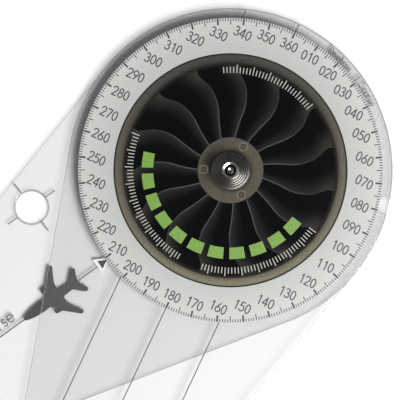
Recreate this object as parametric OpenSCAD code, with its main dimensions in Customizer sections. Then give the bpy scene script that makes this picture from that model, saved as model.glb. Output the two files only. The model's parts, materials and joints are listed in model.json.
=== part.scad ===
// Two-arm course plotter: two clear arms and an azimuth disc that turn on one rivet.
// Millimetres. +Z is up, +Y is north, the rivet's axis is Z, and the underside is Z = 0.
// A compass angle counts clockwise from north, seen from above.

/* [Arms] */
// Radius of the round head of each arm
head_r = 48; // [47:0.5:55]
// Radius of the rounded tip of each arm
tip_r = 6; // [4:0.5:10]
// Angle between an arm's centre line and each of its straight edges
taper = 15; // [12:0.5:18]
// Thickness of each arm
arm_t = 1.5; // [1.4:0.1:2.5]
// Angle of the track arm past the north arm, clockwise
track_angle = 29; // [0:1:180]

/* [Azimuth disc] */
// Radius of the disc
disc_r = 45; // [42:0.5:45.5]
// Thickness of the disc
disc_t = 1.2; // [0.8:0.1:2]
// Radius of the round label on the disc
label_r = 34.5; // [20:0.5:36]
// Thickness of the label
label_t = 0.2; // [0.15:0.05:0.3]
// Depth of the recess that holds the label
label_sink = 0.15; // [0.1:0.05:0.3]

/* [Template hole] */
// Radius of the round hole in the track arm
hole_r = 4.7; // [3:0.1:5]
// Distance of the hole from the rivet
hole_reach = 60; // [58:0.5:63]
// Angle of the hole past the track arm's centre line, clockwise
hole_angle = 25.4; // [0:0.1:25.5]

/* [Thumb notch] */
// Compass angle of the notch in the north arm's rim
notch_angle = 78; // [0:1:120]
// Width of the notch at the rim
notch_mouth = 4.6; // [3:0.1:8]
// Width of the notch at its inner end
notch_end = 1.8; // [1:0.1:3]
// Depth of the notch from the rim
notch_depth = 6; // [4:0.5:10]

/* [Rivet] */
// Radius of the solid pin in the middle
pin_r = 1.2; // [1:0.05:1.5]
// Radius of the hollow half around it
tube_r = 2; // [1.7:0.05:2.5]
// Radius of the hollow half's top flange
flange_r = 2.5; // [2.4:0.1:3.5]
// Radius of the pin's flat head under the track arm
head_plate_r = 3; // [2.6:0.1:4]
// Thickness of the pin's flat head
head_plate_t = 0.4; // [0.3:0.05:0.5]

/* [Washers] */
// Thickness of the two friction washers
friction_t = 0.25; // [0.2:0.05:0.5]
// Radius of the two friction washers
friction_r = 9; // [6:0.5:15]
// Radius of the backing washer under the track arm
backing_r = 4.5; // [4:0.1:6]
// Thickness of the backing washer
backing_t = 0.3; // [0.2:0.05:0.35]
// Radius of the dished washer on top
dished_r = 5.75; // [5:0.25:8]
// Thickness of the dished washer's sheet
dished_t = 0.3; // [0.2:0.05:0.4]
// Height of the dish from its outer edge to its inner edge
dished_rise = 0.45; // [0.3:0.05:0.8]

/* [Hidden] */

$fn = 128;
// Running clearance, both between turning faces and around the rivet
gap = 0.05;
// Overshoot of a cut past a face
cut = 1;
// How far the arms' straight edges lie inside the tangents of their rounds
sink = 0.02;

bore_r = tube_r + gap;
// Distance from the rivet to the centre of an arm's tip
tip_reach = (head_r - tip_r) / sin(taper);

// The stack, from the underside up
arm_washer_z = arm_t;
north_z = arm_washer_z + friction_t + gap;
disc_washer_z = north_z + arm_t;
disc_z = disc_washer_z + friction_t + gap;
disc_top = disc_z + disc_t;
label_z = disc_top - label_sink;
dished_z = label_z + label_t + gap;
flange_z = dished_z + dished_rise + dished_t;
flange_t = 0.4;
rivet_top = flange_z + flange_t;
pocket_depth = head_plate_t + backing_t;
// Radius of the funnel mouth between the pin and the flange
mouth_r = pin_r + 0.55;
// Radius of the dished washer's flat land, just outside the flange
land_r = flange_r + 0.1;
// Turned steps on the dished washer's slope
dished_steps = 4;

// Point at a distance from the rivet along a compass angle
function compass_point(reach, angle) = [reach * sin(angle), reach * cos(angle)];

// A flat ring that stands on z
module ring(outer, inner, thick, z) {
    translate([0, 0, z])
        difference() {
            cylinder(r = outer, h = thick);
            translate([0, 0, -cut])
                cylinder(r = inner, h = thick + 2 * cut);
        }
}

// One arm's plate that points south, with the bore for the rivet: a round head, a small
// round tip, and straight edges that leave both rounds almost along their tangents
module arm_plate() {
    edge_normal = [cos(taper), -sin(taper)];
    tip = [0, -tip_reach];
    head_touch = (head_r - sink) * edge_normal;
    tip_touch = tip + (tip_r - sink) * edge_normal;
    difference() {
        union() {
            cylinder(r = head_r, h = arm_t);
            translate(tip)
                cylinder(r = tip_r, h = arm_t);
            linear_extrude(height = arm_t)
                polygon([head_touch, tip_touch, [-tip_touch.x, tip_touch.y],
                         [-head_touch.x, head_touch.y]]);
        }
        translate([0, 0, -cut])
            cylinder(r = bore_r, h = arm_t + 2 * cut);
    }
}

// Bottom arm: lies on the chart, with the template hole and a pocket for the rivet's head
module track_arm() {
    color([0.88, 0.90, 0.91, 0.4])
        rotate([0, 0, -track_angle])
            difference() {
                arm_plate();
                translate(compass_point(hole_reach, 180 + hole_angle))
                    translate([0, 0, -cut])
                        cylinder(r = hole_r, h = arm_t + 2 * cut);
                translate([0, 0, -cut])
                    cylinder(r = backing_r + gap, h = pocket_depth + cut);
            }
}

// Middle arm: points south, with the thumb notch that bares the disc's edge
module north_arm() {
    mouth_y = head_r + cut;
    flare = (notch_mouth - notch_end) / notch_depth;
    mouth_w = notch_mouth + flare * cut;
    end_y = head_r - notch_depth;
    color([0.88, 0.90, 0.91, 0.4])
        translate([0, 0, north_z])
            difference() {
                arm_plate();
                rotate([0, 0, -notch_angle])
                    translate([0, 0, -cut])
                        linear_extrude(height = arm_t + 2 * cut)
                            polygon([[-mouth_w / 2, mouth_y], [-notch_end / 2, end_y],
                                     [notch_end / 2, end_y], [mouth_w / 2, mouth_y]]);
            }
}

// Graduated disc with a shallow round recess for the label
module azimuth_disc() {
    color([0.86, 0.86, 0.85])
        difference() {
            ring(disc_r, bore_r, disc_t, disc_z);
            translate([0, 0, label_z])
                cylinder(r = label_r + gap, h = label_sink + cut);
        }
}

// Round picture label, bonded in the disc's recess
module centre_label() {
    color([0.22, 0.22, 0.22])
        ring(label_r, bore_r, label_t, label_z);
}

// Dished spring washer that presses the stack together, with turned steps on its slope
module dished_washer() {
    run = (dished_r - land_r) / dished_steps;
    rise = dished_rise / dished_steps;
    tread = 0.7 * run;
    top_z = dished_z + dished_t;
    treads = [for (i = [0 : dished_steps - 1], x = [0, tread])
              [dished_r - run * i - x, top_z + rise * i]];
    color([0.45, 0.44, 0.42])
        rotate_extrude()
            polygon(concat([[bore_r, flange_z - dished_t], [land_r, flange_z - dished_t],
                            [dished_r, dished_z]],
                           treads,
                           [[land_r, flange_z], [bore_r, flange_z]]));
}

// Hollow half of the rivet: a tube that stands on the backing washer, with a top flange
// and a funnel mouth
module rivet_socket() {
    shoulder = flange_t / 2;
    mouth_depth = 0.7;
    color([0.75, 0.74, 0.70])
        rotate_extrude()
            polygon([[pin_r, pocket_depth], [tube_r, pocket_depth], [tube_r, flange_z],
                     [flange_r, flange_z], [flange_r, rivet_top - shoulder],
                     [flange_r - shoulder, rivet_top], [mouth_r, rivet_top],
                     [pin_r, rivet_top - mouth_depth]]);
}

// Solid half of the rivet: a flat head flush with the underside and a shank whose end
// shows in the middle, with a shallow dimple
module rivet_pin() {
    round_off = 0.2;
    dimple_r = 0.6;
    dimple_depth = 0.12;
    color([0.62, 0.62, 0.62])
        rotate_extrude()
            polygon([[0, 0], [head_plate_r, 0], [head_plate_r, head_plate_t],
                     [pin_r, head_plate_t], [pin_r, rivet_top - round_off],
                     [pin_r - round_off, rivet_top], [dimple_r, rivet_top],
                     [0, rivet_top - dimple_depth]]);
}

// Friction washer between the two arms
module arm_washer() {
    color([0.93, 0.92, 0.88])
        ring(friction_r, bore_r, friction_t, arm_washer_z);
}

// Friction washer between the north arm and the disc
module disc_washer() {
    color([0.93, 0.92, 0.88])
        ring(friction_r, bore_r, friction_t, disc_washer_z);
}

// Backing washer that spreads the rivet's load, sunk in the track arm's underside
module backing_washer() {
    color([0.70, 0.70, 0.68])
        ring(backing_r, pin_r + gap, backing_t, head_plate_t);
}

track_arm();
north_arm();
azimuth_disc();
centre_label();
dished_washer();
rivet_socket();
rivet_pin();
arm_washer();
disc_washer();
backing_washer();
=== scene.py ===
"""Looks of a clear two-arm course plotter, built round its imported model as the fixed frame.

Lengths are in metres and the frame is the model's own: +Z up, +Y to north on the disc, and
the rivet's axis at the origin. A compass angle counts clockwise from north, in degrees.
"""

import json
import math

import bmesh
import bpy
import numpy as np
from bpy.props import FloatProperty, FloatVectorProperty, IntProperty, PointerProperty
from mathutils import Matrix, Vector
from mathutils.geometry import tessellate_polygon


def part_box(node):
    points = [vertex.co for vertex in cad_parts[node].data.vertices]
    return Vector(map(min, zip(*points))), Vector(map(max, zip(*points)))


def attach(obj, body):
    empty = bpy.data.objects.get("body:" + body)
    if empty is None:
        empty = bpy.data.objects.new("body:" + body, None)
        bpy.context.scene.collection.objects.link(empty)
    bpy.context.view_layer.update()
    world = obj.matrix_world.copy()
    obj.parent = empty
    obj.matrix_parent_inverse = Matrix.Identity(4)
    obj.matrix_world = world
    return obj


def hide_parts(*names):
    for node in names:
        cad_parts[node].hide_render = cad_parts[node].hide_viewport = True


bl_info = {
    "name": "Course Plotter",
    "version": (1, 0, 0),
    "blender": (4, 5, 0),
    "location": "View3D > Sidebar > Plotter",
    "description": "Builds the clear arms, azimuth disc, prints and rivet of a course plotter",
    "category": "Add Mesh",
}

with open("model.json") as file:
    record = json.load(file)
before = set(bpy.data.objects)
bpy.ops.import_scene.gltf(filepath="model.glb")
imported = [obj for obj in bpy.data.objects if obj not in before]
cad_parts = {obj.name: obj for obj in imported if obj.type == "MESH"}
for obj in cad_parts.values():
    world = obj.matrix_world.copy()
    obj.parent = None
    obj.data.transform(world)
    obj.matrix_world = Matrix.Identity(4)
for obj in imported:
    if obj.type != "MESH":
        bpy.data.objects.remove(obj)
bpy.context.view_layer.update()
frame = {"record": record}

MM = 0.001

# Points closer than this are one, and a face whose normal is this upright is level
SAME_POINT = 1e-8
LEVEL = 0.9999


# ---------------------------------------------------------------- places from the frame

def low_z(node):
    """Height of a node's underside."""
    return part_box(node)[0].z


def high_z(node):
    """Height of a node's top."""
    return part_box(node)[1].z


def reach_x(node):
    """Outer radius of a node that is round about the rivet."""
    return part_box(node)[1].x


def mount(name):
    """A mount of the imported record, by name."""
    return next(m for m in frame["record"]["mounts"] if m["name"] == name)


HOLE = mount("template_hole")
HOLE_XY = np.array(HOLE["pos_m"][:2])
HOLE_R = HOLE["dims"]["r_mm"] * MM
HOLE_EDGE = 0.65 * MM
HEAD_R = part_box("north_arm")[1].y
DISC_R = reach_x("azimuth_disc")
LABEL_R = reach_x("centre_label")
WASHER_R = reach_x("dished_washer")
RIVET_TOP = high_z("rivet_socket")

TIP_R = 6.0 * MM
TIP_REACH = -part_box("north_arm")[0].y - TIP_R
TAPER = math.asin((HEAD_R - TIP_R) / TIP_REACH)
NORTH_AXIS = 180.0
ARMS_APART = 29.0
TRACK_AXIS = NORTH_AXIS + ARMS_APART
BORE_R = 2.05 * MM
PIN_R = 1.2 * MM
CLEARANCE = 0.05 * MM

# The thumb notch in the north arm's rim
NOTCH_COMPASS = 78.0
NOTCH_MOUTH = 4.6 * MM
NOTCH_END = 1.8 * MM
NOTCH_DEPTH = 6.0 * MM
NOTCH_ROUNDS = np.array((0.3, 0.4, 0.4, 0.3)) * MM

# Gaps that printed lines keep to a rim, to an arm's edge, to the tip and to the hub's washer
RIM_GAP = 0.3 * MM
EDGE_GAP = 3.0 * MM
TIP_GAP = 2.0 * MM
HUB_GAP = 0.5 * MM

# The pointer: its base's distance from the rivet, and two triangles as (base, point, half
# width), where base and point are distances from there towards the rivet
POINTER_REACH = 48.6 * MM
POINTER_WHITE = (0.0, 4.6 * MM, 2.5 * MM)
POINTER_DARK = (0.9 * MM, 3.4 * MM, 1.4 * MM)

# Marks on the track arm: from the hole's middle, and from the rivet
HOLE_MARK = (5.1 * MM, 8.6 * MM)
INDEX_LINE = (DISC_R + 0.3 * MM, HEAD_R - 0.4 * MM)
MARK_WIDTH = 0.3 * MM

# Words on the track arm: how far the arm's word starts from the rivet and stands off its line,
# how far clockwise from the index line in degrees the index words start, and how far they stand
# off the disc
ARM_WORD = "Course"
WORD_REACH = 77.5 * MM
WORD_RISE = 1.6 * MM
WORD_STROKE = 0.36 * MM
INDEX_WORDS = (("Reverse", -14.6), ("Course", 1.9))
INDEX_RISE = 0.45 * MM
INDEX_STROKE = 0.22 * MM

# The disc's ticks, as distances inwards from its edge for ones, fives and tens, and the outer
# ring that all of its numerals reach
TICK_START = 0.1 * MM
TICK_ENDS = (1.0 * MM, 1.95 * MM, 2.05 * MM)
NUMERAL_RING = 42.3 * MM

# The label's picture: sweep of a blade's edge as (radius in mm, degrees), and the colours of
# the blades' shadow, face and outer part, their edges, the ring in shade and light, and the rim
FAN_START = 7.7
FAN_SWEEP = ((10.3, 0.0), (14.0, 2.1), (19.5, 4.6), (24.5, 2.4), (30.4, -3.6), (31.9, -2.8))
PICTURE_COLOURS = np.array([(6, 7, 8), (36, 36, 38), (52, 49, 43), (86, 86, 88),
                            (70, 69, 64), (124, 119, 101), (42, 39, 34)]) / 255
HUB_COLOUR = np.array((86, 81, 71)) / 255

# Radii in mm between which one part of the picture turns into the next or a shade fades out,
# and the width of a blade's light edge in mm
# WASHER_SHADE and HUB_SHADE bound the washer's shadow, painted onto the hub as painted shade
WASHER_SHADE = (5.8, 7.2)
HUB_SHADE = (6.5, 10.5)
HUB_END = (9.6, 9.8)
EDGE_FADE = (16.0, 27.0)
BLADES_BROWN = (23.5, 31.0)
BLADES_END = (30.4, 31.6)
RING_START = (31.6, 32.1)
RING_SHADE = (31.8, 33.4)
RIM_START = (34.05, 34.15)
EDGE_WIDTH = 0.3

# Compass angles of the ring's lightest side and of the hub's side in the washer's painted shadow,
# and how wide that painted shadow is
RING_LIGHT = 150
HUB_SHADOW_SIDE = 270
HUB_SHADOW_WIDTH = 45

# Screws on the printed hub: compass angles, distance from the rivet in mm, and round tones as
# (radius in mm, softness in mm, share of the hub's colour)
SCREWS = (3.5, 131, 247)
SCREW_REACH = 7.9
SCREW_TONES = ((1.12, 0.2, 1.45), (0.7, 0.17, 0.4), (0.3, 0.2, 1.1), (0, 0.15, 0.4))

# Plain marks on the label, as compass angles, distances from the rivet and a width
BLOCK_ARC = (107.0, 252.0)
BLOCKS = 11
BLOCK_HALF = 5.2
BLOCK_RADII = (22.8 * MM, 26.2 * MM)
FINE_ARCS = ((101.0, 173.0), (186.0, 266.0), (331.0, 388.0))
FINE_STEP = 1.9
FINE_RADII = (28.7 * MM, 30.5 * MM, 31.2 * MM)
FINE_WIDTH = 0.3 * MM

# Where the camera looks and how far it is turned, and where the two lights stand
VIEW_CENTRE = (-4.43 * MM, -11.75 * MM)
VIEW_TURN = 25.1
KEY_COMPASS = 110.0
KEY_HEIGHT = 58.0
FILL_COMPASS = KEY_COMPASS + 150
FILL_HEIGHT = 65.0


# ---------------------------------------------------------------- sizes and colours

def linear(hex_colour, alpha=None):
    """The linear colour of an sRGB hex value such as "#d9dbd8"."""
    srgb = np.array([int(hex_colour[i:i + 2], 16) for i in (1, 3, 5)]) / 255
    value = srgb_to_linear(srgb)
    return tuple(value) if alpha is None else (*value, alpha)


def srgb_to_linear(srgb):
    """sRGB values from 0 to 1 as linear ones, for a whole array at once."""
    srgb = np.asarray(srgb, float)
    return np.where(srgb <= 0.04045, srgb / 12.92, ((srgb + 0.055) / 1.055) ** 2.4)


def length(name, description, millimetres):
    """A length property whose default is given in millimetres."""
    return FloatProperty(name=name, description=description, default=millimetres * MM,
                         min=0.0, unit="LENGTH", subtype="DISTANCE", precision=5)


def colour(name, description, hex_colour):
    """A colour property whose default is an sRGB hex value."""
    return FloatVectorProperty(name=name, description=description, subtype="COLOR", size=3,
                               min=0.0, max=1.0, default=linear(hex_colour))


class PlotterSizes(bpy.types.PropertyGroup):
    """Sizes of the prints and edges that a user may change."""
    edge: length("Plate edge", "Radius of the polished edges of the clear arms", 0.25)
    disc_edge: length("Disc edge", "Radius of the disc's edges", 0.12)
    ink: length("Ink thickness", "Thickness of a printed layer", 0.03)
    line: length("North line", "Width of the three north lines", 0.33)
    line_gap: length("Line spacing", "Distance between the north lines", 16.0)
    track_line: length("Track line", "Width of the track line", 0.38)
    digit: length("Digit height", "Height of the disc's numerals", 3.05)
    digit_stroke: length("Digit stroke", "Width of the numerals' strokes", 0.36)
    fine_tick: length("Fine tick", "Width of a one-degree tick", 0.27)
    bold_tick: length("Bold tick", "Width of a ten-degree tick", 0.55)
    word: length("Arm lettering", "Height of the capital letters on the track arm", 3.3)
    index_word: length("Index lettering", "Height of the letters at the opposite index", 1.85)
    blades: IntProperty(name="Blades", description="Blades of the printed fan", default=15, min=3)


class PlotterColours(bpy.types.PropertyGroup):
    """Colours that a user may change."""
    acrylic: colour("Acrylic", "Tint of the clear arms", "#f4f4f5")
    edge: colour("Acrylic edge", "Tint of the arms' cut edges", "#bfc2c4")
    disc: colour("Disc", "Azimuth disc", "#c3c5c1")
    ink: colour("Disc ink", "Numerals and ticks", "#3c3f40")
    line_ink: colour("Line ink", "Lines on the arms", "#55575a")
    shape_ink: colour("Silhouette ink", "Aircraft silhouette", "#38383a")
    pointer: colour("Pointer", "Pointer's white edge", "#fafafa")
    accent: colour("Accent", "Arc of blocks on the label", "#6f963b")
    fine_print: colour("Fine print", "Fine marks on the label", "#a9a8a2")
    floor: colour("Floor", "Studio floor", "#fafafa")


class PlotterStudio(bpy.types.PropertyGroup):
    """Camera and lights of the studio."""
    width: length("View width", "Width of what the camera sees", 118.0)
    height: length("Camera height", "Height of the camera above the plotter", 700.0)
    key_power: FloatProperty(name="Key", description="Power of the key light in watts", default=7.8)
    fill_power: FloatProperty(name="Fill", description="Power of the fill light in watts",
                              default=1.0)
    world: FloatProperty(name="World", description="Brightness of the surroundings", default=0.2)


def sizes():
    """The sizes set in the scene."""
    return bpy.context.scene.plotter_sizes


def colours():
    """The colours set in the scene."""
    return bpy.context.scene.plotter_colours


def studio():
    """The camera and light settings of the scene."""
    return bpy.context.scene.plotter_studio


def print_heights(node, share=1.0):
    """Heights of a printed layer on a node's top. It reaches a third of the ink's thickness
    into the node, so that no gap shows, and a share of the thickness above it."""
    layer = sizes().ink
    return high_z(node) - layer / 3, high_z(node) + layer * share


# ---------------------------------------------------------------- outlines and paths

def toward(angle):
    """Unit vector along a compass angle; arrays give one row per angle."""
    radians = np.radians(angle)
    return np.stack([np.sin(radians), np.cos(radians)], axis=-1)


def turned(points, angle):
    """Points turned clockwise about the origin by an angle in degrees."""
    c, s = math.cos(math.radians(angle)), math.sin(math.radians(angle))
    return np.asarray(points) @ np.array([[c, -s], [s, c]])


def arc(centre, radii, start, end, steps=12):
    """Points on an ellipse's arc: the centre plus the two radii times cosine and sine of an
    angle that runs from start to end, in degrees counter-clockwise from +X."""
    angle = np.radians(np.linspace(start, end, steps))
    return np.asarray(centre) + np.stack([np.cos(angle), np.sin(angle)], axis=1) * radii


def line(*points):
    """A path of straight lines."""
    return np.array(points, float)


def join(*paths):
    """Paths end to end as one."""
    return np.concatenate(paths)


def rounded(corners, radii, steps=5):
    """A closed outline with its corners rounded. Each corner is left along both sides by
    radius / tan(half the corner's angle), and the arc between is the turn of one radius
    onto the other about the point where both normals meet."""
    corners = np.asarray(corners, float)
    radii = np.broadcast_to(np.asarray(radii, float), len(corners))[:, None]
    back = np.roll(corners, 1, 0) - corners
    ahead = np.roll(corners, -1, 0) - corners
    back /= np.linalg.norm(back, axis=1, keepdims=True)
    ahead /= np.linalg.norm(ahead, axis=1, keepdims=True)
    half = np.arccos(np.clip((back * ahead).sum(1, keepdims=True), -1, 1)) / 2
    leave = radii / np.maximum(np.tan(half), 1e-6)
    middle = back + ahead
    middle /= np.maximum(np.linalg.norm(middle, axis=1, keepdims=True), 1e-9)
    centre = corners + middle * radii / np.maximum(np.sin(half), 1e-6)
    first, last = corners + back * leave - centre, corners + ahead * leave - centre
    turn = np.maximum(math.pi - 2 * half, 1e-6)[:, None]
    share = np.linspace(0, 1, steps)[None, :, None]
    blend = np.sin((1 - share) * turn) * first[:, None] + np.sin(share * turn) * last[:, None]
    outline = (centre[:, None] + blend / np.sin(turn)).reshape(-1, 2)
    apart = np.linalg.norm(outline - np.roll(outline, 1, 0), axis=1) > SAME_POINT
    return outline[apart]


def inset(outline, distance):
    """A closed counter-clockwise outline moved inwards: each point goes along the sum of its
    two edge normals, far enough that both edges move by the distance. A clockwise outline,
    such as a hole's, moves away from its middle."""
    ahead = np.roll(outline, -1, 0) - outline
    ahead /= np.linalg.norm(ahead, axis=1, keepdims=True)
    normal = np.stack([-ahead[:, 1], ahead[:, 0]], axis=1)
    before = np.roll(normal, 1, 0)
    both = 1 + (normal * before).sum(1, keepdims=True)
    return outline + distance * (normal + before) / np.maximum(both, 0.2)


def wheel(centre, radius, angles):
    """Points on a circle at the given angles in radians."""
    return np.asarray(centre) + radius * np.stack([np.cos(angles), np.sin(angles)], axis=1)


def circle(centre, radius, steps=96, clockwise=False):
    """A round outline about a centre."""
    angle = np.linspace(0, 2 * math.pi, steps, endpoint=False)
    return wheel(centre, radius, -angle if clockwise else angle)


# ---------------------------------------------------------------- meshes

def make_piece(name, vertices, faces, material, body, slot, replaces=(), soft_angle=None,
               weld=False, upright=None):
    """A mesh object from arrays, at the origin, riding on a body of the frame. Level faces
    stay flat, and the others may be smooth and may have a material of their own."""
    mesh = bpy.data.meshes.new(name)
    mesh.from_pydata(np.asarray(vertices).reshape(-1, 3).tolist(), [], faces)
    mesh.materials.append(material)
    if weld:
        work = bmesh.new()
        work.from_mesh(mesh)
        bmesh.ops.remove_doubles(work, verts=work.verts, dist=SAME_POINT)
        work.to_mesh(mesh)
        work.free()
    mesh.validate()
    normals = np.empty(len(mesh.polygons) * 3)
    mesh.polygons.foreach_get("normal", normals)
    level = np.abs(normals[2::3]) > LEVEL
    if upright is not None:
        mesh.materials.append(upright)
        mesh.polygons.foreach_set("material_index", (~level).astype(np.int32))
    if soft_angle is not None:
        mesh.shade_smooth()
        mesh.set_sharp_from_angle(angle=math.radians(soft_angle))
        mesh.polygons.foreach_set("use_smooth", ~level)
    piece = bpy.data.objects.new(name, mesh)
    bpy.context.scene.collection.objects.link(piece)
    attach(piece, body)
    if replaces:
        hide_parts(*replaces)
    return piece


def grid_faces(rows, columns, wrap_rows=False, wrap_columns=True, first=0):
    """Quads of a grid of points numbered row by row, as an array of four corners each."""
    i = np.arange(rows if wrap_rows else rows - 1)[:, None]
    j = np.arange(columns if wrap_columns else columns - 1)[None, :]
    up, along = (i + 1) % rows, (j + 1) % columns
    quads = np.stack([i * columns + j, i * columns + along, up * columns + along,
                      up * columns + j], axis=-1)
    return quads.reshape(-1, 4) + first


def lathe(profile, steps=128, closed=True):
    """A surface of revolution: each profile point (radius, height) goes round the Z axis, so
    a point is (r cos a, r sin a, z). A closed profile runs counter-clockwise; an open one
    starts and ends on the axis, and its poles are not welded here."""
    profile = np.asarray(profile)
    angle = np.linspace(0, 2 * math.pi, steps, endpoint=False)
    radius, height = profile[:, :1], profile[:, 1:]
    points = np.stack([radius * np.cos(angle), radius * np.sin(angle),
                       height + 0 * angle], axis=-1)
    return points, grid_faces(len(profile), steps, wrap_rows=closed).tolist()


def round_edges(low, high, edge, steps=4):
    """The profile of a wall between two heights as (how far inwards, height): a quarter
    round of the edge's radius, the upright side, and a quarter round again."""
    if not edge:
        return np.array([[0, low], [0, high]])
    quarter = np.radians(np.linspace(0, 90, steps))
    inward, rise = edge * (1 - np.sin(quarter)), edge * (1 - np.cos(quarter))
    return np.concatenate([np.stack([inward, low + rise], 1),
                           np.stack([inward, high - rise], 1)[::-1]])


class Shell:
    """A closed solid put together from upright walls and flat caps."""

    def __init__(self):
        self.vertices, self.faces, self.count = [], [], 0

    def wall(self, outline, profile):
        """A profile carried along an outline. Rims run counter-clockwise and holes
        clockwise. Returns the lowest and the highest ring, to be capped."""
        rings = [np.column_stack([inset(outline, d), np.full(len(outline), z)])
                 for d, z in profile]
        self.faces += grid_faces(len(profile), len(outline), first=self.count).tolist()
        numbers = self.count + np.arange(len(outline))
        above = numbers + (len(profile) - 1) * len(outline)
        self.vertices.append(np.concatenate(rings))
        self.count += len(profile) * len(outline)
        return (numbers, rings[0]), (above, rings[-1])

    def cap(self, rings, upwards):
        """Triangles that fill the first ring and leave the others as holes, all turned to
        face up or down as asked."""
        numbers = np.concatenate([ring[0] for ring in rings])
        flat = np.concatenate([ring[1] for ring in rings])
        found = np.array(tessellate_polygon([[Vector(p) for p in ring[1]] for ring in rings]))
        a, b, c = (flat[found[:, k], :2] for k in range(3))
        area = np.cross(b - a, c - a)
        wrong = (area > 0) != upwards
        found[wrong] = found[wrong][:, ::-1]
        self.faces += numbers[found[np.abs(area) > 1e-14]].tolist()

    def arrays(self):
        """The solid's vertices and faces."""
        return np.concatenate(self.vertices), self.faces


def plate(outlines, low, high, edge=0.0):
    """A flat plate between two heights. The first outline is its rim, and the others are
    holes that go right through."""
    shell = Shell()
    rings = [shell.wall(outline, round_edges(low, high, edge)) for outline in outlines]
    shell.cap([ring[0] for ring in rings], upwards=False)
    shell.cap([ring[1] for ring in rings], upwards=True)
    return shell.arrays()


def merged(parts):
    """Several (vertices, faces) as one."""
    vertices, faces, first = [], [], 0
    for points, quads in parts:
        points = np.asarray(points).reshape(-1, 3)
        faces += [[first + n for n in face] for face in quads]
        vertices.append(points)
        first += len(points)
    return np.concatenate(vertices), faces


def stroke(path, width, low, high, cap_steps=3):
    """A pen stroke as a thin solid: a rectangle of the stroke's width carried along the path,
    on its normals. A path that ends where it starts makes a ring. On any other the width
    falls as the cosine past each end while the station moves on by the sine, which makes
    the end round."""
    half = width / 2
    ring = np.allclose(path[0], path[-1])
    if ring:
        middle = path[:-1]
        tangent = np.roll(middle, -1, 0) - np.roll(middle, 1, 0)
        reach = np.full((len(middle), 1), half)
    else:
        along = np.gradient(path, axis=0)
        along /= np.linalg.norm(along, axis=1, keepdims=True)
        angle = np.radians(np.linspace(78, 15, cap_steps))[:, None]
        start = path[0] - along[0] * half * np.sin(angle)
        end = (path[-1] + along[-1] * half * np.sin(angle))[::-1]
        middle = np.concatenate([start, path, end])
        tangent = np.concatenate([np.repeat(along[:1], cap_steps, 0), along,
                                  np.repeat(along[-1:], cap_steps, 0)])
        reach = np.concatenate([half * np.cos(angle), np.full((len(path), 1), half),
                                half * np.cos(angle)[::-1]])
    tangent = tangent / np.linalg.norm(tangent, axis=1, keepdims=True)
    side = np.stack([-tangent[:, 1], tangent[:, 0]], axis=1) * reach
    left, right = middle + side, middle - side
    count = len(middle)
    corners = [np.column_stack([p, np.full(count, z)])
               for p, z in ((right, low), (right, high), (left, high), (left, low))]
    faces = grid_faces(4, count, wrap_rows=True, wrap_columns=ring).tolist()
    if not ring:
        faces += [[k * count for k in (0, 1, 2, 3)],
                  [k * count + count - 1 for k in (3, 2, 1, 0)]]
    return np.stack(corners), faces


def strokes(paths, width, low, high):
    """Pen strokes as one mesh. Each of four in turn is a tenth of the thickness higher than
    the last, so that strokes that cross don't share a top."""
    step = (high - low) * 0.1
    return merged([stroke(path, width, low, high + k % 4 * step)
                   for k, path in enumerate(paths)])


def bars(starts, ends, widths, low, high):
    """Straight thin boxes, one for each row of starts and ends, all at once."""
    starts, ends = np.atleast_2d(starts), np.atleast_2d(ends)
    along = ends - starts
    along /= np.linalg.norm(along, axis=1, keepdims=True)
    half = np.broadcast_to(widths, len(starts))[:, None] / 2
    side = np.stack([-along[:, 1], along[:, 0]], 1) * half
    corners = np.stack([starts - side, ends - side, ends + side, starts + side], axis=1)
    count = len(starts)
    points = np.concatenate([
        np.concatenate([corners, np.full((count, 4, 1), z)], axis=2) for z in (low, high)], axis=1)
    box = np.array([[3, 2, 1, 0], [4, 5, 6, 7], [0, 1, 5, 4], [1, 2, 6, 5], [2, 3, 7, 6],
                    [3, 0, 4, 7]])
    faces = box[None] + 8 * np.arange(count)[:, None, None]
    return points.reshape(-1, 3), faces.reshape(-1, 4).tolist()


# ---------------------------------------------------------------- lettering

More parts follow.
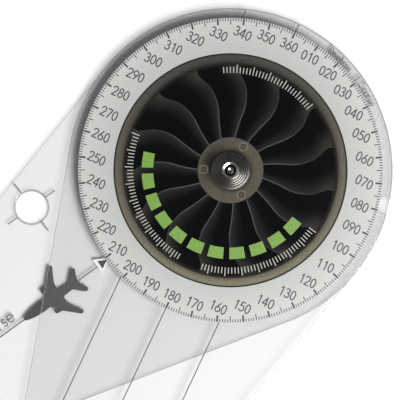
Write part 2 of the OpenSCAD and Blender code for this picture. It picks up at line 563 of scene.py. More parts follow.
def glyphs():
    """A plain round alphabet of single pen strokes. Heights are in capital heights, and each
    glyph is its width and its strokes, with round parts as arcs of circles and ellipses."""
    low_bowl, high_bowl = (0.25, 0.27), (0.25, 0.76)
    six = [arc((0.25, 0.28), (0.25, 0.28), 0, 360, 22), line((0.37, 1.0), (0.03, 0.42))]
    return {
        "0": (0.5, [arc((0.25, 0.5), (0.24, 0.5), 0, 360, 24)]),
        "1": (0.5, [line((0.32, 0.0), (0.32, 1.0)), line((0.32, 1.0), (0.15, 0.82))]),
        "2": (0.5, [join(arc((0.24, 0.74), (0.24, 0.26), 165, -32, 14), line((0.0, 0.0))),
                    line((0.0, 0.0), (0.5, 0.0))]),
        "3": (0.5, [arc((0.24, 0.76), (0.2, 0.24), 150, -90, 12),
                    arc((0.24, 0.26), (0.25, 0.26), 90, -150, 14)]),
        "4": (0.54, [line((0.4, 0.0), (0.4, 1.0)), line((0.4, 1.0), (0.0, 0.26)),
                     line((0.0, 0.26), (0.54, 0.26))]),
        "5": (0.5, [line((0.44, 1.0), (0.12, 1.0)), line((0.12, 1.0), (0.05, 0.56)),
                    arc((0.22, 0.32), (0.28, 0.32), 125, -145, 16)]),
        "6": (0.5, six),
        "7": (0.5, [line((0.0, 1.0), (0.5, 1.0)), line((0.5, 1.0), (0.14, 0.0))]),
        "8": (0.5, [arc(high_bowl, (0.2, 0.24), 0, 360, 20),
                    arc(low_bowl, (0.25, 0.26), 0, 360, 22)]),
        "9": (0.5, [np.array((0.5, 1.0)) - path for path in six]),
        "C": (0.78, [arc((0.46, 0.5), (0.46, 0.5), 48, 312, 22)]),
        "R": (0.5, [line((0.0, 0.0), (0.0, 1.0)),
                    join(line((0.0, 1.0)), arc((0.2, 0.75), (0.25, 0.25), 90, -90, 10),
                         line((0.0, 0.5))), line((0.22, 0.5), (0.48, 0.0))]),
        "e": (0.62, [line((0.02, 0.35), (0.62, 0.35)),
                     arc((0.32, 0.34), (0.31, 0.34), 2, 318, 20)]),
        "o": (0.64, [arc((0.32, 0.34), (0.32, 0.34), 0, 360, 22)]),
        "r": (0.3, [line((0.0, 0.0), (0.0, 0.68)), arc((0.24, 0.42), (0.24, 0.26), 180, 75, 8)]),
        "s": (0.38, [arc((0.19, 0.51), (0.16, 0.17), 40, 270, 10),
                     arc((0.19, 0.17), (0.18, 0.17), 90, -145, 10)]),
        "u": (0.52, [join(line((0.0, 0.68)), arc((0.26, 0.26), (0.26, 0.26), 180, 360, 12)),
                     line((0.52, 0.68), (0.52, 0.0))]),
        "v": (0.5, [line((0.0, 0.68), (0.25, 0.0)), line((0.25, 0.0), (0.5, 0.68))]),
    }


GLYPHS = glyphs()
LETTER_GAP = 0.17


def word_width(text, height):
    """Width of a word set at a capital height."""
    return height * (sum(GLYPHS[c][0] for c in text) + LETTER_GAP * (len(text) - 1))


def straight_word(text, height, start, turn):
    """The strokes of a word on a straight base line that starts at a point and is turned
    clockwise from +X by an angle."""
    paths, pen = [], 0.0
    for character in text:
        width, strokes = GLYPHS[character]
        paths += [turned((path + (pen, 0)) * height, turn) + start for path in strokes]
        pen += width + LETTER_GAP
    return paths


def curved_word(text, height, radius, start):
    """The strokes of a word whose base line is a circle about the rivet. It starts at a
    compass angle and runs clockwise, and each letter is turned to its own middle."""
    paths, pen = [], 0.0
    for character in text:
        width, strokes = GLYPHS[character]
        angle = start + math.degrees((pen + width / 2) * height / radius)
        paths += [turned((path - (width / 2, 0)) * height + (0, radius), angle)
                  for path in strokes]
        pen += width + LETTER_GAP
    return paths


def centred_word(text, height, middle):
    """The strokes of an upright word about its middle."""
    offset = np.array([word_width(text, height), height]) / 2
    return straight_word(text, height, np.asarray(middle) - offset, 0)


# ---------------------------------------------------------------- materials

def add(tree, kind, inputs=None, **settings):
    """Adds one node with its settings, and sets or links its inputs by name or number."""
    node = tree.nodes.new(kind)
    for name, value in settings.items():
        setattr(node, name, value)
    for name, value in (inputs or {}).items():
        if isinstance(value, bpy.types.NodeSocket):
            tree.links.new(value, node.inputs[name])
        else:
            node.inputs[name].default_value = value
    return node


def new_material(name):
    """An empty node material and its output node."""
    material = bpy.data.materials.new(name)
    material.use_nodes = True
    material.node_tree.nodes.clear()
    return material, material.node_tree, material.node_tree.nodes.new("ShaderNodeOutputMaterial")


def surface(tree, output, inputs):
    """A principled shader with its inputs, joined to a material's output."""
    body = add(tree, "ShaderNodeBsdfPrincipled", inputs)
    tree.links.new(body.outputs[0], output.inputs["Surface"])


def rgba(value):
    """A colour property as the four numbers that a socket takes."""
    return (*value, 1.0)


def grain(tree, size):
    """Noise in object space whose features have a real size in metres."""
    place = add(tree, "ShaderNodeTexCoord").outputs["Object"]
    return add(tree, "ShaderNodeTexNoise",
               {"Vector": place, "Scale": 1 / size, "Detail": 2.0}).outputs["Fac"]


def spread(tree, value, low, high):
    """A noise value, taken from 0.35 to 0.65, spread over a range."""
    return add(tree, "ShaderNodeMapRange", {"Value": value, "From Min": 0.35, "From Max": 0.65,
                                            "To Min": low, "To Max": high}).outputs["Result"]


def speckled(tree, base, size, low, high):
    """A base colour, or a colour from a node, made lighter and darker by noise of a real size."""
    return add(tree, "ShaderNodeHueSaturation",
               {"Color": base, "Value": spread(tree, grain(tree, size), low, high)}).outputs[0]


def relief(tree, size, depth):
    """A normal bumped by noise of a real size and depth in metres."""
    return add(tree, "ShaderNodeBump", {"Height": grain(tree, size), "Distance": depth,
                                        "Strength": 1.0}).outputs[0]


def clear_plastic(name, tint, clarity, roughness, passes):
    """Glassy acrylic that lamps and soft light pass through unbent, because a thin clear
    sheet throws hardly a shadow. A share of the light passes at each surface."""
    material, tree, output = new_material(name)
    body = add(tree, "ShaderNodeBsdfPrincipled",
               {"Base Color": rgba(tint), "Roughness": roughness, "IOR": 1.49,
                "Transmission Weight": clarity, "Normal": relief(tree, 9 * MM, 0.01 * MM)})
    clear = add(tree, "ShaderNodeBsdfTransparent", {"Color": (passes, passes, passes, 1.0)})
    path = add(tree, "ShaderNodeLightPath").outputs
    shader = body
    for kind in ("Is Shadow Ray", "Is Diffuse Ray"):
        shader = add(tree, "ShaderNodeMixShader",
                     {0: path[kind], 1: shader.outputs[0], 2: clear.outputs[0]})
    tree.links.new(shader.outputs[0], output.inputs["Surface"])
    return material


def acrylic():
    """Cast acrylic sheet: clear and glossy, with a faint waviness that bends reflections."""
    return clear_plastic("Cast acrylic", colours().acrylic, 1.0, 0.02, 0.965)


def acrylic_edge():
    """Laser-cut and flame-polished acrylic: it scatters some of the light, so that an edge
    shows as a pale grey line and throws a thin soft shadow."""
    return clear_plastic("Flame-polished acrylic", colours().edge, 0.8, 0.06, 0.8)


def ink(name, tint, roughness=0.45):
    """Screen-printed ink: an even matt colour, a little thinner and lighter in places."""
    material, tree, output = new_material(name)
    surface(tree, output, {"Base Color": speckled(tree, rgba(tint), 0.6 * MM, 0.9, 1.15),
                           "Roughness": roughness,
                           "Normal": relief(tree, 0.15 * MM, 0.002 * MM)})
    return material


def from_axis(tree):
    """The distance from the rivet's axis, for patterns that go round it."""
    place = add(tree, "ShaderNodeTexCoord").outputs["Object"]
    flat = add(tree, "ShaderNodeMapping", {"Vector": place, "Scale": (1, 1, 0)})
    return add(tree, "ShaderNodeVectorMath", {0: flat.outputs[0]},
               operation="LENGTH").outputs["Value"]


def rigid_sheet():
    """Rigid vinyl sheet, calendered: pale and satin, with a fine pebbled grain. The sheet is milky,
    and its colour is painted a shade darker towards the dark label, as painted shade."""
    material, tree, output = new_material("Rigid vinyl sheet")
    # Painted shade: the sheet's colour darkens from the disc's edge towards the label
    shade = add(tree, "ShaderNodeMapRange",
                {"Value": from_axis(tree), "From Min": LABEL_R, "From Max": DISC_R,
                 "To Min": 0.83, "To Max": 1.0}).outputs["Result"]
    tone = add(tree, "ShaderNodeHueSaturation", {"Color": rgba(colours().disc), "Value": shade})
    surface(tree, output, {"Base Color": speckled(tree, tone.outputs[0], 1.1 * MM, 0.985, 1.015),
                           "Roughness": 0.42, "IOR": 1.53,
                           "Normal": relief(tree, 0.25 * MM, 0.004 * MM)})
    return material


# The label's colours: its print, and the washer's shadow painted onto the hub
FAN_PRINT_AND_SHADE_LAYER = "Fan print and painted shade"


def label_print():
    """Offset print under satin laminate: the picture's own colours and the washer's shadow painted
    onto the hub, broken up by a fine print grain, with the laminate's soft gloss."""
    material, tree, output = new_material("Laminated print")
    picture = add(tree, "ShaderNodeAttribute", attribute_name=FAN_PRINT_AND_SHADE_LAYER).outputs["Color"]
    surface(tree, output, {"Base Color": speckled(tree, picture, 0.5 * MM, 0.86, 1.14),
                           "Roughness": 0.2, "Specular IOR Level": 0.12,
                           "Normal": relief(tree, 0.4 * MM, 0.001 * MM)})
    return material


def turned_metal(name, tint, roughness, band=0.12):
    """Metal turned on a lathe: fine tool rings about the axis, worked out from the distance
    to it, and a slightly uneven sheen."""
    material, tree, output = new_material(name)
    phase = add(tree, "ShaderNodeMath", {0: from_axis(tree), 1: 2 * math.pi / (band * MM)},
                operation="MULTIPLY")
    rings = add(tree, "ShaderNodeMath", {0: phase.outputs[0]}, operation="SINE")
    bump = add(tree, "ShaderNodeBump", {"Height": rings.outputs[0], "Distance": 0.0008 * MM})
    sheen = spread(tree, grain(tree, 0.5 * MM), roughness, roughness + 0.08)
    surface(tree, output, {"Base Color": speckled(tree, linear(tint, 1.0), 0.8 * MM, 0.96, 1.04),
                           "Metallic": 1.0, "Roughness": sheen, "Normal": bump.outputs[0]})
    return material


def nylon():
    """Natural nylon, stamped from sheet: waxy, off-white and a little cloudy."""
    material, tree, output = new_material("Natural nylon")
    tone = speckled(tree, linear("#e9e6da", 1.0), 0.9 * MM, 0.96, 1.04)
    surface(tree, output, {"Base Color": tone, "Roughness": 0.5, "Subsurface Weight": 0.2,
                           "Subsurface Scale": 0.5 * MM,
                           "Normal": relief(tree, 0.3 * MM, 0.004 * MM)})
    return material


def studio_floor():
    """Matt laminate table top: plain and pale, with a barely visible grain."""
    material, tree, output = new_material("Matt white laminate")
    tone = speckled(tree, rgba(colours().floor), 3 * MM, 0.997, 1.003)
    surface(tree, output, {"Base Color": tone, "Roughness": 0.85})
    return material


# ---------------------------------------------------------------- clear arms

def arm_outline(notch=None, steps=90):
    """Outline of an arm that points south: a belt round a big and a small wheel. Each point
    is its wheel's centre plus the wheel's radius along the outline's own normal, whose angle
    runs once round. A notch's four corners may stand in the big wheel's arc."""
    start, end = -TAPER, math.pi + TAPER
    head = np.linspace(start, end, steps)
    if notch is not None:
        low, high = notch["angle"] - notch["half_turn"], notch["angle"] + notch["half_turn"]
        beside = 0.02
        before, after = head[head < low - beside], head[head > high + beside]
        radial = np.array([math.cos(notch["angle"]), math.sin(notch["angle"])])
        across = np.array([-radial[1], radial[0]])
        floor = radial * (HEAD_R - notch["depth"])
        corners = [floor - across * notch["end"] / 2, floor + across * notch["end"] / 2]
        head_points = np.concatenate([wheel((0, 0), HEAD_R, [*before, low]), corners,
                                      wheel((0, 0), HEAD_R, [high, *after])])
        radii = np.concatenate([np.zeros(len(before)), NOTCH_ROUNDS, np.zeros(len(after))])
    else:
        head_points, radii = wheel((0, 0), HEAD_R, head), np.zeros(steps)
    tip = wheel((0, -TIP_REACH), TIP_R, np.linspace(end, start + 2 * math.pi, steps // 3))
    return rounded(np.concatenate([head_points, tip]), np.concatenate([radii, np.zeros(len(tip))]))


def track_arm_shell(edge):
    """The track arm: a plate with the template hole, whose bore steps out to a wide pocket
    at the underside."""
    low, high, ledge = low_z("track_arm"), high_z("track_arm"), high_z("backing_washer")
    pocket_r = reach_x("backing_washer") + CLEARANCE
    shell, rounds = Shell(), round_edges(low, high, edge)
    rim = shell.wall(turned(arm_outline(), TRACK_AXIS - NORTH_AXIS), rounds)
    hole = shell.wall(circle(HOLE_XY, HOLE_R, clockwise=True), round_edges(low, high, HOLE_EDGE, 7))
    pocket = shell.wall(circle((0, 0), pocket_r, clockwise=True), [(0, low), (0, ledge)])
    bore = shell.wall(circle((0, 0), BORE_R, 48, clockwise=True), [(0, ledge), (0, high)])
    shell.cap([rim[0], hole[0], pocket[0]], upwards=False)
    shell.cap([pocket[1], bore[0]], upwards=False)
    shell.cap([rim[1], hole[1], bore[1]], upwards=True)
    return shell.arrays()


class PLOTTER_OT_arms(bpy.types.Operator):
    """Builds the two clear arms with polished round edges"""
    bl_idname = "plotter.arms"
    bl_label = "Clear arms"

    def execute(self, context):
        clear, cut, edge = acrylic(), acrylic_edge(), sizes().edge
        make_piece("clear_track_arm", *track_arm_shell(edge), clear, "track_arm", "track_arm",
                   ["track_arm"], soft_angle=40, upright=cut)
        notch = {"angle": math.radians(90 - NOTCH_COMPASS), "half_turn": NOTCH_MOUTH / HEAD_R / 2,
                 "depth": NOTCH_DEPTH, "end": NOTCH_END}
        bore = circle((0, 0), BORE_R, 48, clockwise=True)
        shape = plate([arm_outline(notch), bore], low_z("north_arm"), high_z("north_arm"), edge)
        make_piece("clear_north_arm", *shape, clear, "north_arm", "north_arm", ["north_arm"],
                   soft_angle=40, upright=cut)
        return {"FINISHED"}


# ---------------------------------------------------------------- prints on the arms

def on_track(along, across=0.0):
    """A point or points on the track arm: along its centre line from the rivet, and across
    it on the clockwise side."""
    along, across = np.asarray(along, float)[..., None], np.asarray(across, float)[..., None]
    return along * toward(TRACK_AXIS) + across * toward(TRACK_AXIS + 90)


def aircraft_outline():
    """Half of a swept-wing jet seen from above, as (along, across) corners from the nose
    to the tail, mirrored to the other side, with every corner rounded."""
    half = np.array([
        (75.5, 0.05), (75.2, 0.5), (74.0, 0.95), (71.7, 1.4), (69.2, 1.6), (67.0, 1.5),
        (65.5, 2.75), (66.65, 3.05), (66.65, 4.25), (64.6, 4.5), (61.3, 7.8), (60.3, 8.75),
        (59.3, 8.1), (60.8, 5.6), (61.95, 3.4), (62.0, 1.25), (58.5, 1.15), (56.6, 3.1),
        (55.4, 4.1), (54.3, 3.6), (55.3, 1.6), (55.8, 0.05)]) * MM
    both = np.concatenate([half, (half * (1, -1))[::-1]])
    radii = np.array([0.04, 0.4, 2.0, 4.0, 4.0, 0.8, 0.3, 0.25, 0.35, 0.4, 1.0, 0.5, 0.4, 2.0,
                      1.0, 0.6, 0.6, 1.5, 0.5, 0.4, 1.0, 0.04]) * MM
    return rounded(on_track(both[:, 0], both[:, 1]), np.concatenate([radii, radii[::-1]]))


class PLOTTER_OT_track_print(bpy.types.Operator):
    """Prints the track arm: line, aircraft, pointer, hole marks, index and words"""
    bl_idname = "plotter.track_print"
    bl_label = "Track arm print"

    def execute(self, context):
        size = sizes()
        self.low, self.high = print_heights("track_arm")
        dark = ink("Screen ink, charcoal", colours().line_ink)
        lines = bars(on_track(POINTER_REACH), on_track(TIP_REACH - TIP_GAP), size.track_line,
                     self.low, self.high)
        around = TRACK_AXIS + 90 * np.arange(4)
        marks = bars(HOLE_XY + HOLE_MARK[0] * toward(around),
                     HOLE_XY + HOLE_MARK[1] * toward(around), MARK_WIDTH, self.low, self.high)
        index_way = toward(TRACK_AXIS - 180)
        index = bars(index_way * INDEX_LINE[0], index_way * INDEX_LINE[1], MARK_WIDTH, self.low,
                     self.high)
        self.print_piece("track_lines", merged([lines, marks, index]), dark)
        self.print_piece("track_words", self.words(), dark)
        shape = plate([aircraft_outline()[::-1]], self.low, self.high + size.ink)
        self.print_piece("aircraft_silhouette", shape,
                         ink("Screen ink, dark grey", colours().shape_ink))
        self.pointer()
        return {"FINISHED"}

    def words(self):
        """The arm's name beside its line, and the two words at the opposite index."""
        size = sizes()
        start = on_track(WORD_REACH + word_width(ARM_WORD, size.word), WORD_RISE)
        arm_word = straight_word(ARM_WORD, size.word, start, TRACK_AXIS - 270)
        index_words = []
        for word, turn in INDEX_WORDS:
            index_words += curved_word(word, size.index_word, DISC_R + INDEX_RISE,
                                       TRACK_AXIS - 180 + turn)
        return merged([strokes(arm_word, WORD_STROKE, self.low, self.high),
                       strokes(index_words, INDEX_STROKE, self.low, self.high)])

    def pointer(self):
        """The pointer at the disc's edge: a dark triangle inside a white one, both with
        their points towards the rivet."""
        layer = sizes().ink
        white = plate([self.triangle(*POINTER_WHITE)], self.low, self.high + layer)
        black = plate([self.triangle(*POINTER_DARK)], self.high, self.high + 2 * layer)
        self.print_piece("pointer_white", white, ink("Screen ink, white", colours().pointer))
        self.print_piece("pointer_dark", black, ink("Screen ink, black", linear("#202224")))

    @staticmethod
    def triangle(base, point, half):
        """A triangle across the track line, whose point is nearer to the rivet."""
        along = POINTER_REACH - np.array([base, point, base])
        return counter_clockwise(on_track(along, [half, 0, -half]))

    @staticmethod
    def print_piece(name, shape, material):
        """Makes a piece that rides on the track arm."""
        make_piece(name, *shape, material, "track_arm", "track_arm")


def counter_clockwise(outline):
    """An outline turned, if need be, so that it runs counter-clockwise."""
    area = np.cross(outline, np.roll(outline, -1, 0)).sum()
    return outline if area > 0 else outline[::-1]


class PLOTTER_OT_north_print(bpy.types.Operator):
    """Prints the three parallel north lines of the upper arm"""
    bl_idname = "plotter.north_print"
    bl_label = "North arm print"

    def execute(self, context):
        size = sizes()
        low, high = print_heights("north_arm")
        side = size.line_gap
        rim = math.sqrt(HEAD_R ** 2 - side ** 2) - RIM_GAP
        edge_end = (HEAD_R / math.cos(TAPER) - side) / math.tan(TAPER) - EDGE_GAP
        hub = reach_x("disc_washer") + HUB_GAP
        starts = [(-side, rim), (side, rim), (0, HEAD_R - RIM_GAP), (0, -hub)]
        ends = [(-side, -edge_end), (side, -edge_end), (0, hub), (0, -(TIP_REACH - TIP_GAP))]
        make_piece("north_lines", *bars(starts, ends, size.line, low, high),
                   ink("Screen ink, grey", colours().line_ink), "north_arm", "north_arm")
        return {"FINISHED"}


# ---------------------------------------------------------------- azimuth disc

def ring_profile(inner, outer, low, high, edge):
    """The section of a flat ring with rounded corners, counter-clockwise in (radius, height)."""
    corners = [(inner, low), (outer, low), (outer, high), (inner, high)]
    return rounded(corners, [edge * 0.2, edge, edge, edge * 0.2])


class PLOTTER_OT_disc(bpy.types.Operator):
    """Builds the azimuth disc with its ticks and numerals"""
    bl_idname = "plotter.disc"
    bl_label = "Azimuth disc"

    def execute(self, context):
        size = sizes()
        low, high, floor = low_z("azimuth_disc"), high_z("azimuth_disc"), low_z("centre_label")
        recess = LABEL_R + CLEARANCE
        corners = [(BORE_R, low), (DISC_R, low), (DISC_R, high), (recess, high),
                   (recess, floor), (BORE_R, floor)]
        edges = np.array([0, 1, 1, 0, 0, 0]) * size.disc_edge
        make_piece("disc_sheet", *lathe(rounded(corners, edges), 240), rigid_sheet(),
                   "azimuth_disc", "azimuth_disc", ["azimuth_disc"], soft_angle=40)
        printed = ink("Screen ink, soft black", colours().ink)
        for name, shape in (("disc_ticks", self.ticks), ("disc_numerals", self.numerals)):
            make_piece(name, *shape(*print_heights("azimuth_disc", 0.5)), printed,
                       "azimuth_disc", "azimuth_disc")
        return {"FINISHED"}

    @staticmethod
    def ticks(low, high):
        """A tick for every degree: short ones, longer ones at the fives and bold ones at the
        tens, as two radii along each compass angle."""
        size = sizes()
        degree = np.arange(360)
        five, ten = degree % 5 == 0, degree % 10 == 0
        one_end, five_end, ten_end = TICK_ENDS
        inner = DISC_R - np.where(ten, ten_end, np.where(five, five_end, one_end))
        width = np.where(ten, size.bold_tick, size.fine_tick)
        way = toward(degree)
        return bars(way * inner[:, None], way * (DISC_R - TICK_START), width, low, high)

    @staticmethod
    def numerals(low, high):
        """Three upright digits at every ten degrees. Each number's middle is drawn in from
        one ring by half its own size in that direction, so that all outer ends line up."""
        size = sizes()
        paths = []
        for degree in range(10, 370, 10):
            text = f"{degree:03d}"
            way = toward(degree)
            half = np.array([word_width(text, size.digit), size.digit]) / 2
            middle = way * (NUMERAL_RING - np.linalg.norm(half * way))
            paths += centred_word(text, size.digit - size.digit_stroke, middle)
        return strokes(paths, size.digit_stroke, low, high)


# ---------------------------------------------------------------- printed label

def smooth_step(value, low, high):
    """0 below low, 1 above high, and 3t^2 - 2t^3 between."""
    t = np.clip((value - low) / (high - low), 0, 1)
    return t * t * (3 - 2 * t)


def curve_through(points, x):
    """A smooth curve through a few points: on each stretch a cubic that has the points'
    values and, at both ends, the slope of the line between their neighbours."""
    px, py = np.array(points, float).T
    slope = np.gradient(py, px)
    x = np.clip(x, px[0], px[-1])
    k = np.clip(np.searchsorted(px, x) - 1, 0, len(px) - 2)
    width = px[k + 1] - px[k]
    t = (x - px[k]) / width
    return (py[k] * (1 + 2 * t) * (1 - t) ** 2 + slope[k] * width * t * (1 - t) ** 2
            + py[k + 1] * t * t * (3 - 2 * t) + slope[k + 1] * width * t * t * (t - 1))


def mixed(low, high, share):
    """Colours part of the way from one to another, one for each share."""
    return low + (high - low) * np.asarray(share)[..., None]


def fan_colour(radius, phase, angle):
    """The picture's colour in sRGB at a radius in millimetres, a share of the way from one
    blade's edge to the next, and a compass angle. A blade is darkest behind its neighbour's
    edge and brightens to its own, which is a thin light line. Outside it a bronze ring is
    lit from one side, and inside it is the hub."""
    black, grey, brown, edge, bronze, khaki, rim = PICTURE_COLOURS
    blades = sizes().blades
    shade = smooth_step(phase, 0.4, 1.0)
    outer = smooth_step(radius, *BLADES_BROWN)
    colour = mixed(mixed(black, grey, shade), mixed(black * 1.4, brown, shade), outer)
    gap = (1 - phase) * radius * 2 * math.pi / blades
    strength = 0.25 + 0.75 * (1 - smooth_step(radius, *EDGE_FADE))
    colour = mixed(colour, edge, strength * np.exp(-(gap / EDGE_WIDTH) ** 2))
    colour = mixed(colour, brown * 0.75, smooth_step(radius, *BLADES_END))
    light = 0.5 + 0.5 * np.cos(np.radians(angle - RING_LIGHT))
    bowl = 0.8 + 0.2 * smooth_step(radius, *RING_SHADE)
    ring = mixed(bronze, khaki, light) * bowl[..., None]
    colour = mixed(colour, ring, smooth_step(radius, *RING_START))
    colour = mixed(colour, rim, smooth_step(radius, *RIM_START))
    return mixed(hub_colour(radius, angle), colour, smooth_step(radius, *HUB_END))


def hub_colour(radius, angle):
    """The hub's colour in sRGB: the printed hub with three small screws, each a few soft rings
    about its own middle, and the washer's shadow painted over it, darker on one side and round the
    washer."""
    # Painted shadow of the washer: darker on one side of the hub and close round the washer
    side = np.exp(-((np.mod(angle, 360) - HUB_SHADOW_SIDE) / HUB_SHADOW_WIDTH) ** 2)
    shadow = side * (1 - smooth_step(radius, *HUB_SHADE))
    hub = HUB_COLOUR * (1 - 0.55 * shadow)[..., None]
    hub = hub * (0.7 + 0.3 * smooth_step(radius, *WASHER_SHADE))[..., None]
    place = toward(angle) * np.asarray(radius)[..., None]
    for screw in SCREWS:
        off = np.linalg.norm(place - toward(screw) * SCREW_REACH, axis=-1)
        for middle, softness, tone in SCREW_TONES:
            share = 0.85 * np.exp(-((off - middle) / softness) ** 2)
            hub = mixed(hub, HUB_COLOUR * tone, share)
    return hub


class PLOTTER_OT_label(bpy.types.Operator):
    """Builds the round label with a generic fan picture and plain arcs of marks"""
    bl_idname = "plotter.label"
    bl_label = "Centre label"

    def execute(self, context):
        self.picture()
        self.marks()
        return {"FINISHED"}

    def picture(self):
        """A flat ring as a polar grid. Its columns follow the blades' edges: a column's
        compass angle is its own share of the turn plus the sweep of the edge at that
        radius, so that an edge is one sharp line of the grid."""
        blades = sizes().blades
        low, high = low_z("centre_label"), high_z("centre_label")
        # Columns gather at each blade's light edge, and rows stand on both sides of the places
        # where two parts of the print meet
        steps = np.concatenate([np.linspace(0, 0.8, 13), [0.86, 0.9, 0.93, 0.955, 0.975, 0.99]])
        share = (np.arange(blades)[:, None] + steps).reshape(-1)
        radii = np.concatenate([np.linspace(BORE_R / MM, HUB_END[0], 26),
                                np.linspace(HUB_END[1], 31.5, 46),
                                np.linspace(31.7, 34.0, 8), [34.1, 34.2, LABEL_R / MM]])
        profile = np.concatenate([[(radii[0], low)], np.column_stack([radii, radii * 0 + high]),
                                  [(radii[-1], low)]])
        radius, height = profile[:, :1], profile[:, 1:]
        sweep = curve_through(FAN_SWEEP, radius)
        angle = FAN_START + sweep + share * 360 / blades
        flat = toward(angle) * radius[..., None] * MM
        points = np.concatenate([flat, (height + 0 * angle)[..., None]], axis=2)
        rows, columns = angle.shape
        faces = grid_faces(rows, columns, wrap_rows=True)
        piece = make_piece("label_picture", points, faces.tolist(), label_print(),
                           "azimuth_disc", "centre_label", ["centre_label"])
        row, column = np.divmod(faces, columns)
        phase = share[column] % 1.0
        phase[:, 1:3] = np.where(phase[:, 1:3] == 0, 1.0, phase[:, 1:3])
        srgb = fan_colour(profile[row, 0], phase, angle[row, column])
        layer = piece.data.color_attributes.new(FAN_PRINT_AND_SHADE_LAYER, "FLOAT_COLOR", "CORNER")
        values = np.ones((faces.size, 4))
        values[:, :3] = srgb_to_linear(np.clip(srgb, 0, 1)).reshape(-1, 3)
        layer.data.foreach_set("color", values.ravel())

    @staticmethod
    def marks():
        """An arc of even blocks, each a sector of a ring, and three rows of fine ticks."""
        low, top = print_heights("centre_label", 0.5)
        parts = []
        for middle in np.linspace(*BLOCK_ARC, BLOCKS):
            angle = np.linspace(middle - BLOCK_HALF, middle + BLOCK_HALF, 9)
            outline = np.concatenate([toward(angle) * BLOCK_RADII[0],
                                      toward(angle[::-1]) * BLOCK_RADII[1]])
            parts.append(plate([counter_clockwise(outline)], low, top))
        make_piece("label_blocks", *merged(parts), ink("Label ink, green", colours().accent, 0.4),
                   "azimuth_disc", "centre_label")
        angle = np.concatenate([np.arange(start, end, FINE_STEP) for start, end in FINE_ARCS])
        inner, short, tall = FINE_RADII
        reach = np.where(np.arange(len(angle)) % 5 == 0, tall, short)
        way = toward(angle)
        ticks = bars(way * inner, way * reach[:, None], FINE_WIDTH, low, top)
        make_piece("label_fine_marks", *ticks, ink("Label ink, grey", colours().fine_print, 0.4),
                   "azimuth_disc", "centre_label")


# ---------------------------------------------------------------- rivet and washers

class PLOTTER_OT_rivet(bpy.types.Operator):
    """Builds the dished washer and the two halves of the rivet"""
    bl_idname = "plotter.rivet"
    bl_label = "Rivet"

    def execute(self, context):
        steel = turned_metal("Blackened spring steel", "#504f4c", 0.2)
        nickel = turned_metal("Nickel-plated brass", "#a8a59c", 0.16, 0.3)
        stainless = turned_metal("Stainless steel", "#8a8a88", 0.16, 0.25)
        make_piece("turned_washer", *lathe(self.washer_profile(), 160), steel, "track_arm",
                   "dished_washer", ["dished_washer"], soft_angle=35)
        make_piece("rivet_collar", *lathe(self.collar_profile(), 96), nickel, "track_arm",
                   "rivet_socket", ["rivet_socket"], soft_angle=50)
        make_piece("rivet_core", *lathe(self.core_profile(), 96, closed=False), stainless,
                   "track_arm", "rivet_pin", ["rivet_pin"], soft_angle=50, weld=True)
        return {"FINISHED"}

    @staticmethod
    def washer_profile():
        """A cone of even thickness between the edge and the land. On top the cone is plain
        near the edge, and the rest of it rises in turned steps: in each ring the height goes
        up by a smooth step in the last half."""
        low, high = low_z("dished_washer"), high_z("dished_washer")
        land, sheet, bevel = reach_x("rivet_socket") + 0.1 * MM, 0.3 * MM, 0.08 * MM
        rings, plain = 4, 0.22
        share = np.linspace(0, 1, 61)
        radius = WASHER_R - (WASHER_R - land) * share
        step = np.clip((share - plain) / (1 - plain), 0, 1) * rings
        stepped = (np.floor(step) + smooth_step(step % 1, 0.45, 1.0)) / rings
        level = plain * np.clip(share / plain, 0, 1) + (1 - plain) * stepped
        rise = high - sheet - low
        top = np.column_stack([radius, low + sheet + rise * level])
        top[0] = (WASHER_R - bevel, low + sheet)
        under = [(BORE_R, high - sheet), (land, high - sheet), (WASHER_R, low),
                 (WASHER_R, low + sheet - bevel)]
        return np.concatenate([under, top, [(BORE_R, high)]])

    @staticmethod
    def collar_profile():
        """A tube with a flange on top. The flange dishes towards a steep funnel mouth."""
        foot, flange = low_z("rivet_socket"), high_z("dished_washer")
        tube, outer = BORE_R - CLEARANCE, reach_x("rivet_socket")
        mouth, lip = PIN_R + 0.5 * MM, 0.15 * MM
        dish, funnel = 0.2 * MM, 1.1 * MM
        corners = [(PIN_R, foot), (tube, foot), (tube, flange), (outer, flange),
                   (outer, RIVET_TOP), (outer - lip, RIVET_TOP),
                   (mouth, RIVET_TOP - dish), (PIN_R, RIVET_TOP - funnel)]
        return rounded(corners, np.array([0, 0, 0, 0.03, 0.1, 0.1, 0.06, 0]) * MM, 8)

    @staticmethod
    def core_profile():
        """A flat head below and a shank whose end is rounded, with a round dimple in it: a
        part of a ball whose edge has the dimple's radius and slope."""
        head_r, head_top = reach_x("rivet_pin"), low_z("backing_washer")
        dimple, slope = 0.95 * MM, 32
        angle = np.radians(np.linspace(0, slope, 8))[::-1]
        bowl = dimple / math.sin(angle[0])
        depth = bowl * (np.cos(angle) - math.cos(angle[0]))
        corners = [(0, 0), (head_r, 0), (head_r, head_top), (PIN_R, head_top),
                   (PIN_R, RIVET_TOP)]
        start = rounded(corners, np.array([0, 0.08, 0.08, 0, 0.2]) * MM, 8)
        return np.concatenate([start, np.column_stack([bowl * np.sin(angle),
                                                       RIVET_TOP - depth])])


class PLOTTER_OT_washers(bpy.types.Operator):
    """Builds the friction washers between the plates and the backing washer"""
    bl_idname = "plotter.washers"
    bl_label = "Washers"

    def execute(self, context):
        plastic = nylon()
        steel = turned_metal("Zinc-plated steel", "#b4b4b0", 0.3, 0.4)
        for node, body, inner, material in (
                ("arm_washer", "track_arm", BORE_R, plastic),
                ("disc_washer", "north_arm", BORE_R, plastic),
                ("backing_washer", "track_arm", PIN_R + CLEARANCE, steel)):
            profile = ring_profile(inner, reach_x(node), low_z(node), high_z(node), 0.06 * MM)
            make_piece("flat_" + node, *lathe(profile, 96), material, body, node, [node],
                       soft_angle=50)
        return {"FINISHED"}


# ---------------------------------------------------------------- studio

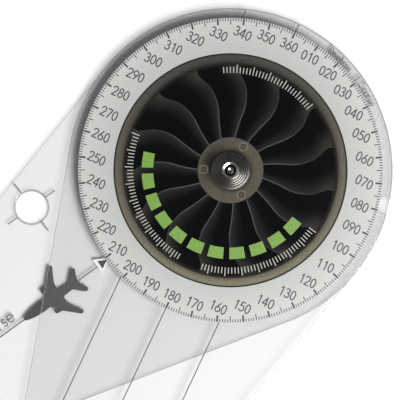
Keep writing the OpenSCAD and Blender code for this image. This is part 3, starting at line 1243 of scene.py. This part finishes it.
class PLOTTER_OT_studio(bpy.types.Operator):
    """Sets the floor, the lights, the surroundings and the camera"""
    bl_idname = "plotter.studio"
    bl_label = "Studio"

    def execute(self, context):
        self.floor()
        self.camera()
        look = studio()
        aim = Vector((*VIEW_CENTRE, 0))
        self.light("Key light", KEY_COMPASS, KEY_HEIGHT, distance=0.8, size=0.42,
                   power=look.key_power, aim=aim)
        self.light("Fill light", FILL_COMPASS, FILL_HEIGHT, distance=1.6, size=1.0,
                   power=look.fill_power, aim=aim)
        world = bpy.data.worlds.new("Studio")
        bpy.context.scene.world = world
        world.use_nodes = True
        sky = world.node_tree.nodes["Background"]
        sky.inputs["Color"].default_value = linear("#f4f6f8", 1.0)
        sky.inputs["Strength"].default_value = look.world
        bpy.context.scene.view_settings.view_transform = "Standard"
        return {"FINISHED"}

    @staticmethod
    def floor():
        """A square sheet just under the plotter."""
        half, z = 1.5, -0.05 * MM
        mesh = bpy.data.meshes.new("floor")
        mesh.from_pydata([(-half, -half, z), (half, -half, z), (half, half, z),
                          (-half, half, z)], [], [(0, 1, 2, 3)])
        mesh.materials.append(studio_floor())
        floor = bpy.data.objects.new("floor", mesh)
        bpy.context.scene.collection.objects.link(floor)

    @staticmethod
    def camera():
        """Looks straight down, turned so that north leans to the view's upper right."""
        look = studio()
        data = bpy.data.cameras.new("Camera")
        data.lens = data.sensor_width * look.height / look.width
        camera = bpy.data.objects.new("Camera", data)
        camera.location = (*VIEW_CENTRE, look.height + high_z("azimuth_disc"))
        camera.rotation_euler = (0, 0, math.radians(VIEW_TURN))
        bpy.context.scene.collection.objects.link(camera)
        bpy.context.scene.camera = camera

    @staticmethod
    def light(name, angle, elevation, distance, size, power, aim):
        """A square area light at a compass angle and a height in degrees, facing the aim."""
        data = bpy.data.lights.new(name, "AREA")
        data.size, data.energy = size, power
        lamp = bpy.data.objects.new(name, data)
        lamp.visible_transmission = False
        way = toward(angle)
        up = math.radians(elevation)
        offset = Vector((*(way * math.cos(up)), math.sin(up))) * distance
        lamp.location = aim + offset
        lamp.rotation_euler = offset.to_track_quat("Z", "Y").to_euler()
        bpy.context.scene.collection.objects.link(lamp)


# ---------------------------------------------------------------- add-on

PIECES = (PLOTTER_OT_arms, PLOTTER_OT_track_print, PLOTTER_OT_north_print, PLOTTER_OT_disc,
          PLOTTER_OT_label, PLOTTER_OT_rivet, PLOTTER_OT_washers, PLOTTER_OT_studio)


class PLOTTER_PT_sidebar(bpy.types.Panel):
    """Lists the plotter's pieces and its settings"""
    bl_idname = "PLOTTER_PT_sidebar"
    bl_label = "Course plotter"
    bl_space_type = "VIEW_3D"
    bl_region_type = "UI"
    bl_category = "Plotter"

    def draw(self, context):
        for operator in PIECES:
            self.layout.operator(operator.bl_idname)
        for group in (sizes(), colours(), studio()):
            box = self.layout.box()
            for name in group.__annotations__:
                box.prop(group, name)


CLASSES = (PlotterSizes, PlotterColours, PlotterStudio, *PIECES, PLOTTER_PT_sidebar)


def register():
    for item in CLASSES:
        bpy.utils.register_class(item)
    bpy.types.Scene.plotter_sizes = PointerProperty(type=PlotterSizes)
    bpy.types.Scene.plotter_colours = PointerProperty(type=PlotterColours)
    bpy.types.Scene.plotter_studio = PointerProperty(type=PlotterStudio)


def unregister():
    del bpy.types.Scene.plotter_sizes
    del bpy.types.Scene.plotter_colours
    del bpy.types.Scene.plotter_studio
    for item in reversed(CLASSES):
        bpy.utils.unregister_class(item)


def main():
    """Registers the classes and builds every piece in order."""
    register()
    for operator in PIECES:
        group, name = operator.bl_idname.split(".")
        getattr(getattr(bpy.ops, group), name)()


if __name__ == "__main__":
    main()
